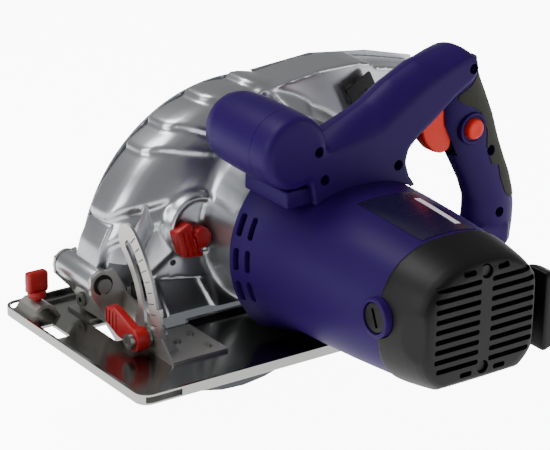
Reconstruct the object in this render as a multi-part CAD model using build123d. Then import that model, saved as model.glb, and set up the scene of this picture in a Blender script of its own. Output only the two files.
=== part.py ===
from build123d import *
import os
from math import atan2, cos, degrees, radians, sin, sqrt

# Hand-held circular saw, 210 mm blade.
# Frame: origin at the centre of the sole rectangle, on its underside.
# +X is the cutting direction, +Y points from the blade to the motor, +Z is up. Millimetres.

# --- driving dimensions -------------------------------------------------------------------
SHOE_LENGTH, SHOE_WIDTH, SHEET = 336.0, 174.0, 2.0
RIM_HEIGHT, CORNER_R = 7.5, 9.0
SLOT_REAR, SLOT_FRONT, SLOT_RIGHT, SLOT_LEFT = -106.0, 117.0, -62.0, -3.0   # blade opening in the shoe
NOTCH_FRONT, NOTCH_RIGHT = 130.0, -33.0                                     # sight notch ahead of it

BLADE_R, ARBOR_R = 105.0, 15.0
SPINDLE_X, SPINDLE_Z, BLADE_Y = 9.0, 34.0, -43.0
TOOTH_COUNT = 24

BEVEL_Y, BEVEL_Z, BEVEL_SLOT_R = -55.0, 12.0, 75.0                          # tilt axis, along X
QUADRANT_X = 119.5
BEVEL_MAX = 45.0
LUG_X_REAR = -121.0

HINGE_X, HINGE_Z = 130.0, 36.0                                              # depth axis, along Y
HINGE_BORE_R, HINGE_BARREL_R = 5.0, 9.5
DEPTH_ARC_R, DEPTH_START, DEPTH_MAX = 228.0, -3.0, 28.0                     # clamp slot about the hinge

GUARD_R, GUARD_WALL = 116.0, 3.2
GUARD_RIGHT, GUARD_LEFT, CASE_FACE = -57.0, -19.0, -4.0
GUARD_FLOOR = 8.0
LOWER_R, LOWER_WALL = 108.5, 1.6
LOWER_RIGHT, LOWER_LEFT = -51.5, -34.5

MOTOR_X, MOTOR_Z = 0.0, 66.0
NECK_R, BELL_R, BARREL_R = 62.0, 66.0, 56.0
BELL_Y, BARREL_Y, CAP_Y, CAP_END = 36.0, 62.0, 184.0, 210.0
BRUSH_Y = 172.0
PLASTIC = 3.0
HOUSING_FLOOR, CAP_FLOOR = 8.0, 12.0                                         # flats under the motor

PINION_TEETH, GEAR_TEETH = 9, 43
CENTRE_DISTANCE = sqrt((SPINDLE_X - MOTOR_X) ** 2 + (SPINDLE_Z - MOTOR_Z) ** 2)
GEAR_MODULE = 2 * CENTRE_DISTANCE / (PINION_TEETH + GEAR_TEETH)
SHAFT_R, RUNNING = 5.0, 0.05

HANDLE_LEFT, HANDLE_SPLIT, HANDLE_RIGHT = 85.0, 66.0, 47.0
NUB_X, NUB_Z, NUB_R, NUB_END = 51.0, 143.0, 24.0, 6.0

parts = {}


# --- small helpers ------------------------------------------------------------------------
def box(x0, x1, y0, y1, z0, z1):
    return Pos((x0 + x1) / 2, (y0 + y1) / 2, (z0 + z1) / 2) * Box(x1 - x0, y1 - y0, z1 - z0)


def rod_x(r, x0, x1, y, z):
    return Pos((x0 + x1) / 2, y, z) * Rot(0, 90, 0) * Cylinder(r, x1 - x0)


def rod_y(r, y0, y1, x, z):
    return Pos(x, (y0 + y1) / 2, z) * Rot(90, 0, 0) * Cylinder(r, y1 - y0)


def rod_z(r, z0, z1, x, y):
    return Pos(x, y, (z0 + z1) / 2) * Cylinder(r, z1 - z0)


def tube_y(r_out, r_in, y0, y1, x, z):
    return rod_y(r_out, y0, y1, x, z) - rod_y(r_in, y0 - 1, y1 + 1, x, z)


def plate_y(points, y0, y1, smooth=False):
    """Flat outline in X and Z, from y0 to y1."""
    path = [(x, 0, z) for x, z in points]
    edge = Spline(*path, periodic=True) if smooth else Polyline(*path, close=True)
    return Pos(0, y0, 0) * extrude(make_face(edge), amount=y1 - y0, dir=(0, 1, 0))


def plate_x(points, x0, x1):
    """Flat outline in Y and Z, from x0 to x1."""
    edge = Polyline(*[(0, y, z) for y, z in points], close=True)
    return Pos(x0, 0, 0) * extrude(make_face(edge), amount=x1 - x0, dir=(1, 0, 0))


def arc_points(cx, cz, r, start, end, steps=16):
    angles = [radians(start + (end - start) * i / steps) for i in range(steps + 1)]
    return [(cx + r * cos(a), cz + r * sin(a)) for a in angles]


def ring_sector(cx, cz, r_in, r_out, start, end):
    """Closed outline of a piece of a ring, angles from the first axis."""
    return arc_points(cx, cz, r_out, start, end) + arc_points(cx, cz, r_in, end, start)


def turned_y(profile, x, z):
    """Solid turned about a line along Y: profile is (radius, y)."""
    face = make_face(Polyline(*[(x + r, y, z) for r, y in profile], close=True))
    return revolve(face, axis=Axis((x, 0, z), (0, 1, 0)), revolution_arc=360)


def blade_point(r, angle):
    return SPINDLE_X + r * cos(radians(angle)), SPINDLE_Z + r * sin(radians(angle))


# --- shoe: pressed plate with everything that is fixed to it ---------------------------------
def shoe_plate():
    half_w = SHOE_WIDTH / 2
    outer = extrude(RectangleRounded(SHOE_LENGTH, SHOE_WIDTH, CORNER_R), amount=RIM_HEIGHT)
    pan = extrude(RectangleRounded(SHOE_LENGTH - 2 * SHEET, SHOE_WIDTH - 2 * SHEET, CORNER_R - SHEET),
                  amount=RIM_HEIGHT)
    plate = outer - Pos(0, 0, SHEET) * pan
    plate += box(-60, 76, SLOT_LEFT, SLOT_LEFT + 3, 0, 5)                   # stiffening flange
    plate -= box(SLOT_REAR, SLOT_FRONT, SLOT_RIGHT, SLOT_LEFT, -1, 9)
    plate -= box(SLOT_FRONT - 1, NOTCH_FRONT, NOTCH_RIGHT, SLOT_LEFT, -1, 9)
    plate -= box(151, 162, -50, -27.5, -1, 9)                               # sight window
    for side in (-half_w, half_w):                                          # fence bar slots in the rim
        plate -= box(138, 164, side - 3, side + 3, SHEET, 6.2)
    return plate


def quadrant_plate():
    outline = ring_sector(BEVEL_Y, BEVEL_Z, 66, 88, 2, 50)
    plate = plate_x(outline, QUADRANT_X - 1, QUADRANT_X + 1)
    top_y, top_z = BEVEL_Y + 77 * cos(radians(50)), BEVEL_Z + 77 * sin(radians(50))
    plate += rod_x(10.5, QUADRANT_X - 1, QUADRANT_X + 1, top_y, top_z)
    plate += plate_x([(3, SHEET), (49, SHEET), (34.5, 16), (34.5, 36), (20, 30), (5, 22)],
                     QUADRANT_X - 1, QUADRANT_X + 1)
    plate += box(77, QUADRANT_X, 3, 48.5, SHEET, SHEET + 2)                 # riveted foot
    plate += plate_y([(QUADRANT_X - 1, SHEET + 1), (QUADRANT_X - 1, 20), (105, SHEET + 1)], 32.5, 34.5)
    for end in (-2.5, BEVEL_MAX + 2.5):
        y = BEVEL_Y + BEVEL_SLOT_R * cos(radians(end))
        z = BEVEL_Z + BEVEL_SLOT_R * sin(radians(end))
        plate -= rod_x(3.4, 110, 130, y, z)
    slot = ring_sector(BEVEL_Y, BEVEL_Z, BEVEL_SLOT_R - 3.4, BEVEL_SLOT_R + 3.4, -2.5, BEVEL_MAX + 2.5)
    return plate - plate_x(slot, 110, 130)


def pivot_lug(x0, x1, foot_x0, foot_x1):
    lug = plate_x([(-66, SHEET), (-38, SHEET), (-47, BEVEL_Z + 5), (-63, BEVEL_Z + 5)], x0, x1)
    lug += rod_x(9, x0, x1, BEVEL_Y, BEVEL_Z)
    lug += box(foot_x0, foot_x1, -66, -38, SHEET, SHEET + 2)
    return lug - rod_x(3.5 + RUNNING, x0 - 1, x1 + 1, BEVEL_Y, BEVEL_Z)


def make_shoe():
    parts["shoe_plate"] = shoe_plate()
    parts["quadrant_plate"] = quadrant_plate()
    parts["front_pivot_lug"] = pivot_lug(QUADRANT_X - 1, QUADRANT_X + 1, QUADRANT_X - 1, QUADRANT_X + 10)
    parts["rear_pivot_lug"] = pivot_lug(LUG_X_REAR, LUG_X_REAR + 2, LUG_X_REAR - 12, LUG_X_REAR + 2)
    bridge = plate_y([(139, SHEET), (144, 9.5), (148, 12), (154, 12), (158, 9.5), (163, SHEET),
                      (160, SHEET), (156, 7.5), (153, 9.5), (149, 9.5), (146, 7.5), (142, SHEET)], -81, -59)
    parts["guide_bridge"] = bridge - rod_z(3.1, 5, 15, 151, -70)
    rivets = [(86, 17), (100, 23), (86, 38), (112, 12)]
    parts["shoe_rivets"] = Compound([rod_z(2.6, SHEET + 2, SHEET + 3.4, x, y) for x, y in rivets])
    pins = []
    for x0, x1 in ((QUADRANT_X - 2, QUADRANT_X + 7), (LUG_X_REAR - 1, LUG_X_REAR + 8)):
        pin = rod_x(3.5, x0, x1, BEVEL_Y, BEVEL_Z) + rod_x(5, x1 - 1, x1, BEVEL_Y, BEVEL_Z)
        pins.append(pin - rod_x(1.8, x0 - 1, x1 + 1, BEVEL_Y, BEVEL_Z))
    parts["bevel_pins"] = Compound(pins)


def make_guide_screw():
    stem = rod_z(3, 7.5, 20, 151, -70)
    head = box(143, 159, -74, -66, 17, 33) + rod_z(6, 14.5, 18, 151, -70)
    parts["guide_screw"] = head + stem


# --- tilting frame: front bracket and rear depth arc ----------------------------------------
def tilt_bracket():
    front = plate_x([(-55, 5.5), (-20, 5.5), (-20, 27), (-66, 27), (-66, 14), (-61, 10)], 122, 124.5)
    left_ear = plate_y([(112, 7), (124, 7), (139, 30), (139, 42), (122, 46), (112, 30)], -22.5, -20)
    right_ear = plate_y([(122, 14), (124, 14), (139, 30), (139, 42), (122, 45)], -68, -65.5)
    wing = plate_x([(-22.5, 7), (28, 7), (28, 18), (-14, 27), (-22.5, 30)], 112.5, 115)
    ears = [rod_y(9.5, y, y + 2.5, HINGE_X, HINGE_Z) for y in (-22.5, -68)]
    bracket = front + left_ear + right_ear + wing + ears[0] + ears[1]
    bracket += box(122, 124.5, -68, -64, 14, 27)
    bracket -= rod_y(HINGE_BORE_R, -70, -18, HINGE_X, HINGE_Z)
    bracket -= rod_x(3.5 + RUNNING, 120, 126, BEVEL_Y, BEVEL_Z)
    bolt_y = BEVEL_Y + BEVEL_SLOT_R
    return bracket - rod_x(3.0, 110, 118, bolt_y, BEVEL_Z)


def depth_arc():
    top = 28.0
    band = ring_sector(HINGE_X, HINGE_Z, DEPTH_ARC_R - 11, DEPTH_ARC_R + 11, 180 - top, 187)
    arc = plate_y(band, -16, -13.5)
    slot_end = DEPTH_START + DEPTH_MAX
    slot = ring_sector(HINGE_X, HINGE_Z, DEPTH_ARC_R - 3.4, DEPTH_ARC_R + 3.4,
                       180 - slot_end - 0.9, 180 - DEPTH_START + 0.9)
    arc -= plate_y(slot, -20, -10)
    cross = plate_x([(-66, 14), (-62, 8.5), (-55, 5), (-13.5, 5), (-13.5, 20), (-45, 26), (-63, 22)],
                    LUG_X_REAR + 3.5, LUG_X_REAR + 6)
    foot = plate_y([(LUG_X_REAR + 3.5, 5), (-88, 5), (-88, 20), (LUG_X_REAR + 3.5, 20)], -16, -13.5)
    arm = arc + cross + foot
    return arm - rod_x(3.5 + RUNNING, LUG_X_REAR, LUG_X_REAR + 9, BEVEL_Y, BEVEL_Z)


def make_tilt_frame():
    parts["tilt_bracket"] = tilt_bracket()
    parts["depth_arc"] = depth_arc()
    parts["hinge_pin"] = rod_y(HINGE_BORE_R, -71, -17, HINGE_X, HINGE_Z)
    clips = [tube_y(7, HINGE_BORE_R, y, y + 1, HINGE_X, HINGE_Z) for y in (-20, -69)]
    gap = box(HINGE_X - 2, HINGE_X + 2, -75, -10, HINGE_Z - 10, HINGE_Z)
    parts["e_clips"] = Compound([clip - gap for clip in clips])
    parts["bumper_post"] = box(99, 112.5, -18, -12, 21, 24)
    parts["rubber_bumper"] = rod_z(5.5, 24, 33, 105, -15)
    bolt_y = BEVEL_Y + BEVEL_SLOT_R
    bolt = rod_x(3.0, 112, 136, bolt_y, BEVEL_Z) + rod_x(6, 109, 112.5, bolt_y, BEVEL_Z)
    parts["bevel_bolt"] = bolt
    parts["bevel_washer"] = rod_x(7, 121, 123, bolt_y, BEVEL_Z) - rod_x(3.0, 120, 124, bolt_y, BEVEL_Z)


def make_bevel_lever():
    bolt_y = BEVEL_Y + BEVEL_SLOT_R
    hub = rod_x(8, 123.4, 133, bolt_y, BEVEL_Z)
    blade = plate_x([(bolt_y + 2, 7.5), (bolt_y + 6, 19), (-4, 27), (-13, 24), (-13, 14), (2, 8)], 126, 133)
    parts["bevel_lever"] = hub + blade - rod_x(3.0 + RUNNING, 120, 137, bolt_y, BEVEL_Z)
    parts["lever_nut"] = (rod_x(5.2, 133.1, 136.5, bolt_y, BEVEL_Z)
                          - rod_x(3.0, 130, 140, bolt_y, BEVEL_Z))


LOCK_X, LOCK_Z = 71.0, 66.0


def front_clearance():
    """Space around the hinge ears, the bevel lug and the rubber stop."""
    space = box(103, 160, -80, 60, -10, 27) + box(98, 121, -26, 60, -10, 35)
    return space + box(103, 160, -26, 60, -10, 48) + box(103, 160, -80, -56, -10, 48)


def housing_screw_places():
    return [(MOTOR_X + 50 * cos(radians(a)), MOTOR_Z + 50 * sin(radians(a))) for a in (40, 140, 215, 325)]


# --- guards -----------------------------------------------------------------------------------
CHUTE = [(-10, 150), (-60, 154), (-110, 148), (-150, 138), (-150, 104), (-96, 96)]


def hinge_barrel():
    """Cast boss of the depth hinge, joined to the front of the guard's rim."""
    barrel = rod_y(HINGE_BARREL_R, -65, -23, HINGE_X, HINGE_Z)
    web = plate_y([(122.5, 35), (133, 42), (124.5, 66), (118, 66)], -55, -27)
    return barrel + (web - rod_y(GUARD_R - 1, -60, -20, SPINDLE_X, SPINDLE_Z))


def upper_guard():
    rim = rod_y(GUARD_R, GUARD_RIGHT + 2, -31, SPINDLE_X, SPINDLE_Z)
    rim += rod_y(GUARD_R, -32, GUARD_LEFT, SPINDLE_X, SPINDLE_Z) & box(-150, -50, -40, 10, 0, 160)
    chute = plate_y(CHUTE, GUARD_RIGHT + 2, GUARD_LEFT)
    dome = turned_y([(0, -34), (GUARD_R - 1.5, -34), (112, -27), (107, -20.5), (101, -14), (94, -8),
                     (86, CASE_FACE),
                     (0, CASE_FACE)], SPINDLE_X, SPINDLE_Z)
    dome = dome & box(-52, 140, -40, 10, 0, 160)
    neck = rod_y(NECK_R, -10, BELL_Y, MOTOR_X, MOTOR_Z)
    casting = rim + chute + dome + neck
    casting -= box(-200, 127, -80, 60, -100, GUARD_FLOOR)
    casting -= front_clearance()
    # room for the quadrant
    casting -= plate_y([(118, 26), (114, 36), (96, 72), (99, 88), (122, 88), (122, 26)], -16.5, 10)
    casting += rod_y(33.5, -30, CASE_FACE - 0.5, SPINDLE_X, SPINDLE_Z) - box(-60, 80, -40, 10, -20, 1)
    # blade channel, open below and through the chute
    channel = rod_y(GUARD_R - GUARD_WALL, GUARD_RIGHT - 1, -33, SPINDLE_X, SPINDLE_Z)
    chute_room = plate_y([(-10, 146.8), (-60, 150.8), (-110, 144.8), (-152, 134.5), (-152, 107.5), (-94, 99.5),
                          (-60, 60)], GUARD_RIGHT - 1, GUARD_LEFT - GUARD_WALL)
    casting -= channel
    casting += hinge_barrel()
    casting -= chute_room - rod_y(BLADE_R, -33, 0, SPINDLE_X, SPINDLE_Z)
    # gear space, hollow dome and motor neck
    casting -= rod_y(30.5, -20.5, -2.9, SPINDLE_X, SPINDLE_Z) + rod_y(17, -20.5, -2.9, MOTOR_X, MOTOR_Z)
    dome_room = turned_y([(38, -27), (103, -27), (97, -20), (90, -13.5), (83, -8), (38, -8)],
                         SPINDLE_X, SPINDLE_Z)
    dome_room = dome_room & box(-48, 96, -40, 10, GUARD_FLOOR + 3, 160)
    casting -= dome_room - rod_y(NECK_R + 3, -40, 0, MOTOR_X, MOTOR_Z)
    neck_room = rod_y(NECK_R - 4, -3, BELL_Y + 1, MOTOR_X, MOTOR_Z)
    neck_room &= box(-90, 90, -10, 60, GUARD_FLOOR + 3, 200)
    for sx, sz in housing_screw_places():
        neck_room -= rod_y(9, 8, BELL_Y + 1, sx, sz)
        casting -= rod_y(2.4, 8, BELL_Y - 2, sx, sz)
    casting -= neck_room
    casting -= rod_y(16, -29, -20, SPINDLE_X, SPINDLE_Z)                    # bearing seat
    casting -= rod_y(12, -34, -28, SPINDLE_X, SPINDLE_Z)                    # spindle hole
    casting -= tube_y(32.5, 27, -34, -29.5, SPINDLE_X, SPINDLE_Z)           # return spring recess
    casting -= rod_y(HINGE_BORE_R + RUNNING, -70, -18, HINGE_X, HINGE_Z)
    casting -= rod_y(3 + RUNNING, -12, 0, LOCK_X, LOCK_Z)
    casting -= rod_y(2.2, -12, 0, 85, 47)
    return casting


def guard_cover():
    cover = rod_y(GUARD_R, GUARD_RIGHT, GUARD_RIGHT + 2, SPINDLE_X, SPINDLE_Z)
    cover += plate_y(CHUTE, GUARD_RIGHT, GUARD_RIGHT + 2)
    cover -= rod_y(68, -70, -40, SPINDLE_X, SPINDLE_Z)
    cover -= front_clearance() + rod_y(HINGE_BARREL_R + 1, -80, -20, HINGE_X, HINGE_Z)
    return cover - box(-200, 200, -80, 60, -100, GUARD_FLOOR)


def lower_guard():
    start, end = -170.0, -14.0
    rim = plate_y(ring_sector(SPINDLE_X, SPINDLE_Z, LOWER_R - LOWER_WALL, LOWER_R, start, end),
                  LOWER_RIGHT, LOWER_LEFT)
    left_outline = ring_sector(SPINDLE_X, SPINDLE_Z, 27, LOWER_R - 0.5, start, end)
    left = plate_y(left_outline, LOWER_LEFT - LOWER_WALL, LOWER_LEFT)
    left += tube_y(34, 27, LOWER_LEFT - LOWER_WALL, LOWER_LEFT, SPINDLE_X, SPINDLE_Z)
    right_outline = ring_sector(SPINDLE_X, SPINDLE_Z, 36, LOWER_R - 0.5, start, end)
    right = plate_y(right_outline, LOWER_RIGHT, LOWER_RIGHT + LOWER_WALL)
    right += tube_y(44, 34, LOWER_RIGHT, LOWER_RIGHT + LOWER_WALL, SPINDLE_X, SPINDLE_Z)
    return rim + left + right


def make_guards():
    parts["upper_guard"] = upper_guard()
    parts["guard_cover"] = guard_cover()
    screws = [blade_point(GUARD_R - 6, a) for a in (20, 60, 100)]
    parts["cover_screws"] = Compound([rod_y(3.2, GUARD_RIGHT - 1.6, GUARD_RIGHT, x, z) for x, z in screws])
    parts["lower_guard"] = lower_guard()
    x, z = blade_point(40, -168)
    tip_x, tip_z = blade_point(60, -168)
    arm = plate_y([(x + 6, z + 6), (x + 6, z - 5), (tip_x - 3, tip_z - 5), (tip_x - 3, tip_z + 6)],
                  LOWER_RIGHT - 2.4, LOWER_RIGHT)
    parts["guard_lever"] = arm + rod_y(5.5, LOWER_RIGHT - 14, LOWER_RIGHT - 2, tip_x, tip_z)
    parts["guard_spring"] = tube_y(31, 28.5, -33.4, -30.2, SPINDLE_X, SPINDLE_Z)


# --- blade, spindle and gears -----------------------------------------------------------------
def saw_blade():
    points = []
    for i in range(TOOTH_COUNT):
        pitch = 360 / TOOTH_COUNT
        a = i * pitch
        points += [blade_point(BLADE_R - 8, a), blade_point(BLADE_R - 9, a + pitch * 0.25),
                   blade_point(BLADE_R - 2.5, a + pitch * 0.45), blade_point(BLADE_R, a + pitch * 0.97)]
    blade = plate_y(points, BLADE_Y - 0.9, BLADE_Y + 0.9)
    return blade - rod_y(ARBOR_R, BLADE_Y - 3, BLADE_Y + 3, SPINDLE_X, SPINDLE_Z)


def spur_gear(teeth, x, z, y0, y1, bore, phase):
    """Straight-flanked gear, teeth thinned so that a pair turns with backlash."""
    pitch_r = GEAR_MODULE * teeth / 2
    step = 360 / teeth
    root_r, tip_r = pitch_r - 1.15 * GEAR_MODULE, pitch_r + 0.75 * GEAR_MODULE
    half_root, half_tip = step * 0.20, step * 0.08
    points = []
    for i in range(teeth):
        a = phase + i * step
        for r, offset in ((root_r, -half_root), (tip_r, -half_tip), (tip_r, half_tip), (root_r, half_root)):
            points.append((x + r * cos(radians(a + offset)), z + r * sin(radians(a + offset))))
    return plate_y(points, y0, y1) - rod_y(bore, y0 - 1, y1 + 1, x, z)


def make_spindle():
    x, z = SPINDLE_X, SPINDLE_Z
    line = degrees(atan2(MOTOR_Z - z, MOTOR_X - x))
    spindle = rod_y(7.5, -39, 1.5, x, z) + rod_y(8, -50, -39, x, z) + rod_y(11, -36.5, -34.6, x, z)
    parts["spindle"] = spindle - rod_y(4, -51, -30, x, z)
    parts["inner_flange"] = rod_y(20, BLADE_Y + 0.9, -38, x, z) - rod_y(8, -60, -30, x, z)
    parts["outer_flange"] = (rod_y(20, -47.5, BLADE_Y - 0.9, x, z) - rod_y(8, -49, -30, x, z))
    reducer = tube_y(ARBOR_R, 8, BLADE_Y - 0.9, BLADE_Y + 0.9, x, z)
    parts["reducer_ring"] = reducer
    hexagon = Plane.XZ.offset(52) * Pos(x, z) * RegularPolygon(7.5, 6)
    bolt = rod_y(4, -52, -31, x, z) + extrude(hexagon, amount=5)
    parts["blade_bolt"] = bolt + rod_y(9, -52, -50, x, z)
    parts["saw_blade"] = saw_blade()
    parts["output_gear"] = spur_gear(GEAR_TEETH, x, z, -19, -9, 7.5, line)
    return line


# --- motor ------------------------------------------------------------------------------------
def make_armature(line):
    x, z = MOTOR_X, MOTOR_Z
    half_pitch = 180 / PINION_TEETH
    parts["armature_shaft"] = rod_y(SHAFT_R, -6, 199, x, z) + rod_y(4, -20, -6, x, z)
    parts["drive_pinion"] = spur_gear(PINION_TEETH, x, z, -20, -8, 4, line + 180 + half_pitch)
    fan = tube_y(14, SHAFT_R, 40, 54, x, z) + tube_y(44, SHAFT_R, 52, 54, x, z)
    for i in range(12):
        vane = box(13, 43, -1, 1, 41, 53)
        fan += Pos(x, 0, z) * Rot(0, i * 30, 0) * Pos(0, 47, -47) * vane
    parts["cooling_fan"] = fan
    parts["armature_core"] = tube_y(25, SHAFT_R, 66, 128, x, z)
    parts["commutator"] = tube_y(15, SHAFT_R, BRUSH_Y - 10, BRUSH_Y + 10, x, z)


def make_stator():
    x, z = MOTOR_X, MOTOR_Z
    ring = rod_y(44, 64, 130, x, z) - rod_y(36, 60, 140, x, z)
    for side in (-1, 1):
        pole = tube_y(37, 26, 64, 130, x, z) & box(-40, 40, 60, 140, z + side * 24 - 16, z + side * 24 + 16)
        ring += pole
    parts["stator"] = ring
    coils = []
    for side in (-1, 1):
        for y0, y1 in ((58, 64), (130, 136)):
            middle = z + side * 30
            coil = tube_y(40, 28, y0, y1, x, z) & box(-40, 40, 50, 140, middle - 14, middle + 14)
            coils.append(coil)
    parts["field_coils"] = Compound(coils)


def motor_housing():
    x, z = MOTOR_X, MOTOR_Z
    r = BARREL_R
    outer = turned_y([(0, BELL_Y), (BELL_R, BELL_Y), (BELL_R, BELL_Y + 14), (r + 3, BARREL_Y),
                      (r, BARREL_Y + 20), (r - 1, CAP_Y), (0, CAP_Y)], x, z)
    inner = turned_y([(0, BELL_Y - 1), (BELL_R - PLASTIC, BELL_Y - 1), (BELL_R - PLASTIC, BELL_Y + 13),
                      (r + 3 - PLASTIC, BARREL_Y - 1), (r - PLASTIC, BARREL_Y + 20),
                      (r - 1 - PLASTIC, CAP_Y + 1), (0, CAP_Y + 1)], x, z)
    floor = box(-90, 90, 0, 230, -60, HOUSING_FLOOR)
    inner_floor = box(-90, 90, 0, 230, -60, HOUSING_FLOOR + PLASTIC)
    for y0 in (70, 118):                                   # rings that hold the stator
        inner -= tube_y(r + 20, 44, y0, y0 + 6, x, z)
    shell = (outer - floor) - (inner - inner_floor)
    for angle in range(-62, 63, 24):                       # air outlets around the front of the bell
        for row in (42, 50):
            if abs(angle) < 62 or row == 50:
                vent = box(40, 90, row - 1.8, row + 1.8, -9, 9)
                shell -= Pos(x, 0, z) * Rot(0, angle, 0) * vent
                shell -= Pos(x, 0, z) * Rot(0, 180 + angle, 0) * vent
    for side in (-1, 1):                                   # brush holder sockets
        shell += rod_x(11, *sorted((side * 51, side * 57)), BRUSH_Y, z)
        shell -= rod_x(8.2, *sorted((side * 30, side * 70)), BRUSH_Y, z)
    return shell


def end_cap():
    x, z = MOTOR_X, MOTOR_Z
    r = BARREL_R - 1
    outer = turned_y([(0, CAP_Y), (r, CAP_Y), (r - 1, 196), (r - 8, CAP_END), (0, CAP_END)], x, z)
    outer += box(-62, -44, 188, 206, z - 33, z + 14) + box(44, 54, 188, 204, z - 33, z + 14)
    inner = turned_y([(0, CAP_Y - 1), (r - PLASTIC, CAP_Y - 1), (r - 1 - PLASTIC, 193), (r - 11, CAP_END - 4),
                      (0, CAP_END - 4)], x, z)
    outer -= box(-90, 90, 0, 230, -60, CAP_FLOOR)
    inner -= box(-90, 90, 0, 230, -60, CAP_FLOOR + PLASTIC)
    cap = outer - inner
    for row in range(11):
        height = z - 35 + row * 7
        reach = sqrt(42 ** 2 - (height - z) ** 2)
        for side in (-1, 1):
            near, far = sorted((side * 4, side * reach))
            cap -= box(x + near, x + far, CAP_END - 6, CAP_END + 2, height - 1.8, height + 1.8)
    for side in (-1, 1):
        cap -= rod_y(3.5, CAP_END - 6, CAP_END + 1, x, z + side * 31.5)
    pocket = tube_y(15, 11.0, 189, 199, x, z)
    for angle in (90, 210, 330):
        pocket += Pos(x, 0, z) * Rot(0, angle, 0) * box(14, r - 3, 193, 198, -3, 3)
    return cap + pocket


def make_motor():
    x, z = MOTOR_X, MOTOR_Z
    parts["motor_housing"] = motor_housing()
    parts["end_cap"] = end_cap()
    plate = rod_y(NECK_R - 4.2, -3, 3, x, z) & box(-90, 90, -10, 60, GUARD_FLOOR + 3.2, 200)
    plate -= rod_y(13, -4, 4, x, z)
    plate -= rod_y(11, -4, 2, SPINDLE_X, SPINDLE_Z)
    plate -= rod_y(31, -4, 4, SPINDLE_X, SPINDLE_Z - 60)
    parts["bearing_plate"] = plate
    seats = [(13, SHAFT_R, -3, 3, x, z), (11, SHAFT_R, 189, 198, x, z),
             (16, 7.5, -29, -21, SPINDLE_X, SPINDLE_Z), (11, 7.5, -3, 2, SPINDLE_X, SPINDLE_Z)]
    bearings = [tube_y(ro, ri + RUNNING, y0, y1, cx, cz) for ro, ri, y0, y1, cx, cz in seats]
    parts["ball_bearings"] = Compound(bearings)
    holders, brushes, caps = [], [], []
    for side in (-1, 1):
        near, far = sorted((side * 17, side * 52))
        holder = rod_x(8.2, near, far, BRUSH_Y, z)
        holders.append(holder - box(near - 1, far + 1, BRUSH_Y - 3.1, BRUSH_Y + 3.1, z - 4.1, z + 4.1))
        near, far = sorted((side * 15.3, side * 34))
        brushes.append(box(near, far, BRUSH_Y - 3, BRUSH_Y + 3, z - 4, z + 4))
        near, far = sorted((side * 52, side * 57))
        slot_near, slot_far = sorted((side * 55.5, side * 58))
        cap = rod_x(8.2, near, far, BRUSH_Y, z)
        caps.append(cap - box(slot_near, slot_far, BRUSH_Y - 1, BRUSH_Y + 1, z - 6, z + 6))
    parts["brush_holders"] = Compound(holders)
    parts["carbon_brushes"] = Compound(brushes)
    parts["brush_caps"] = Compound(caps)
    make_stator()
    label = tube_y(BARREL_R + 0.5, BARREL_R, 92, 150, x, z)
    parts["rating_plate"] = label & box(-28, 12, 80, 160, z + 40, z + 70)
    parts["cap_screws"] = Compound([rod_y(3.4, CAP_END - 5, CAP_END - 2, x, z + s * 31.5) for s in (-1, 1)])
    screws = [rod_y(2.4, 8, BELL_Y - 2, sx, sz) for sx, sz in housing_screw_places()]
    parts["housing_screws"] = Compound(screws)


# --- handle -------------------------------------------------------------------------------------
OUTLINE = [(44, 100), (20, 100), (-40, 98), (-58, 82), (-60, 52), (-100, 42), (-134, 42), (-139, 58),
           (-136, 80), (-129, 100), (-120, 128), (-113, 158), (-108, 176), (-98, 185), (-82, 188), (-56, 183),
           (-24, 171), (6, 154), (22, 140), (40, 124)]
LOOP = [(-40, 108), (-35, 122), (-42, 137), (-58, 142), (-86, 140), (-92, 112), (-100, 90), (-106, 72),
        (-98, 62), (-72, 66), (-60, 92)]
BUTTON_X, BUTTON_Z = -96.0, 132.0
HANDLE_HOLES = [(35, 142), (31, 123), (-30, 122), (-98, 178), (-112, 112), (-122, 66)]


def handle_room(y0, y1):
    """The space inside the handle's wall, between y0 and y1."""
    outer = make_face(Polyline(*[(x, 0, z) for x, z in OUTLINE], close=True))
    inner = make_face(Polyline(*[(x, 0, z) for x, z in LOOP], close=True))
    room = offset(outer, -4.0) - offset(inner, 4.0)
    return Pos(0, y0, 0) * extrude(room, amount=y1 - y0, dir=(0, 1, 0))


def handle_cuts():
    """What both shells leave room for: the motor, the trigger, its screws and the cable."""
    cuts = rod_y(BARREL_R + 3.2, 0, 200, MOTOR_X, MOTOR_Z)
    cuts += rod_y(BELL_R + 0.3, 0, BARREL_Y + 0.5, MOTOR_X, MOTOR_Z)
    cuts += box(-97, -50, HANDLE_SPLIT - 6.2, HANDLE_SPLIT + 6.2, 110, 150)
    cuts += rod_x(5.0, -150, -122, HANDLE_SPLIT, 52)                                 # cable inlet
    for hx, hz in HANDLE_HOLES:
        cuts += rod_y(1.8, HANDLE_SPLIT - 6, HANDLE_SPLIT + 5, hx, hz)
    return cuts


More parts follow.
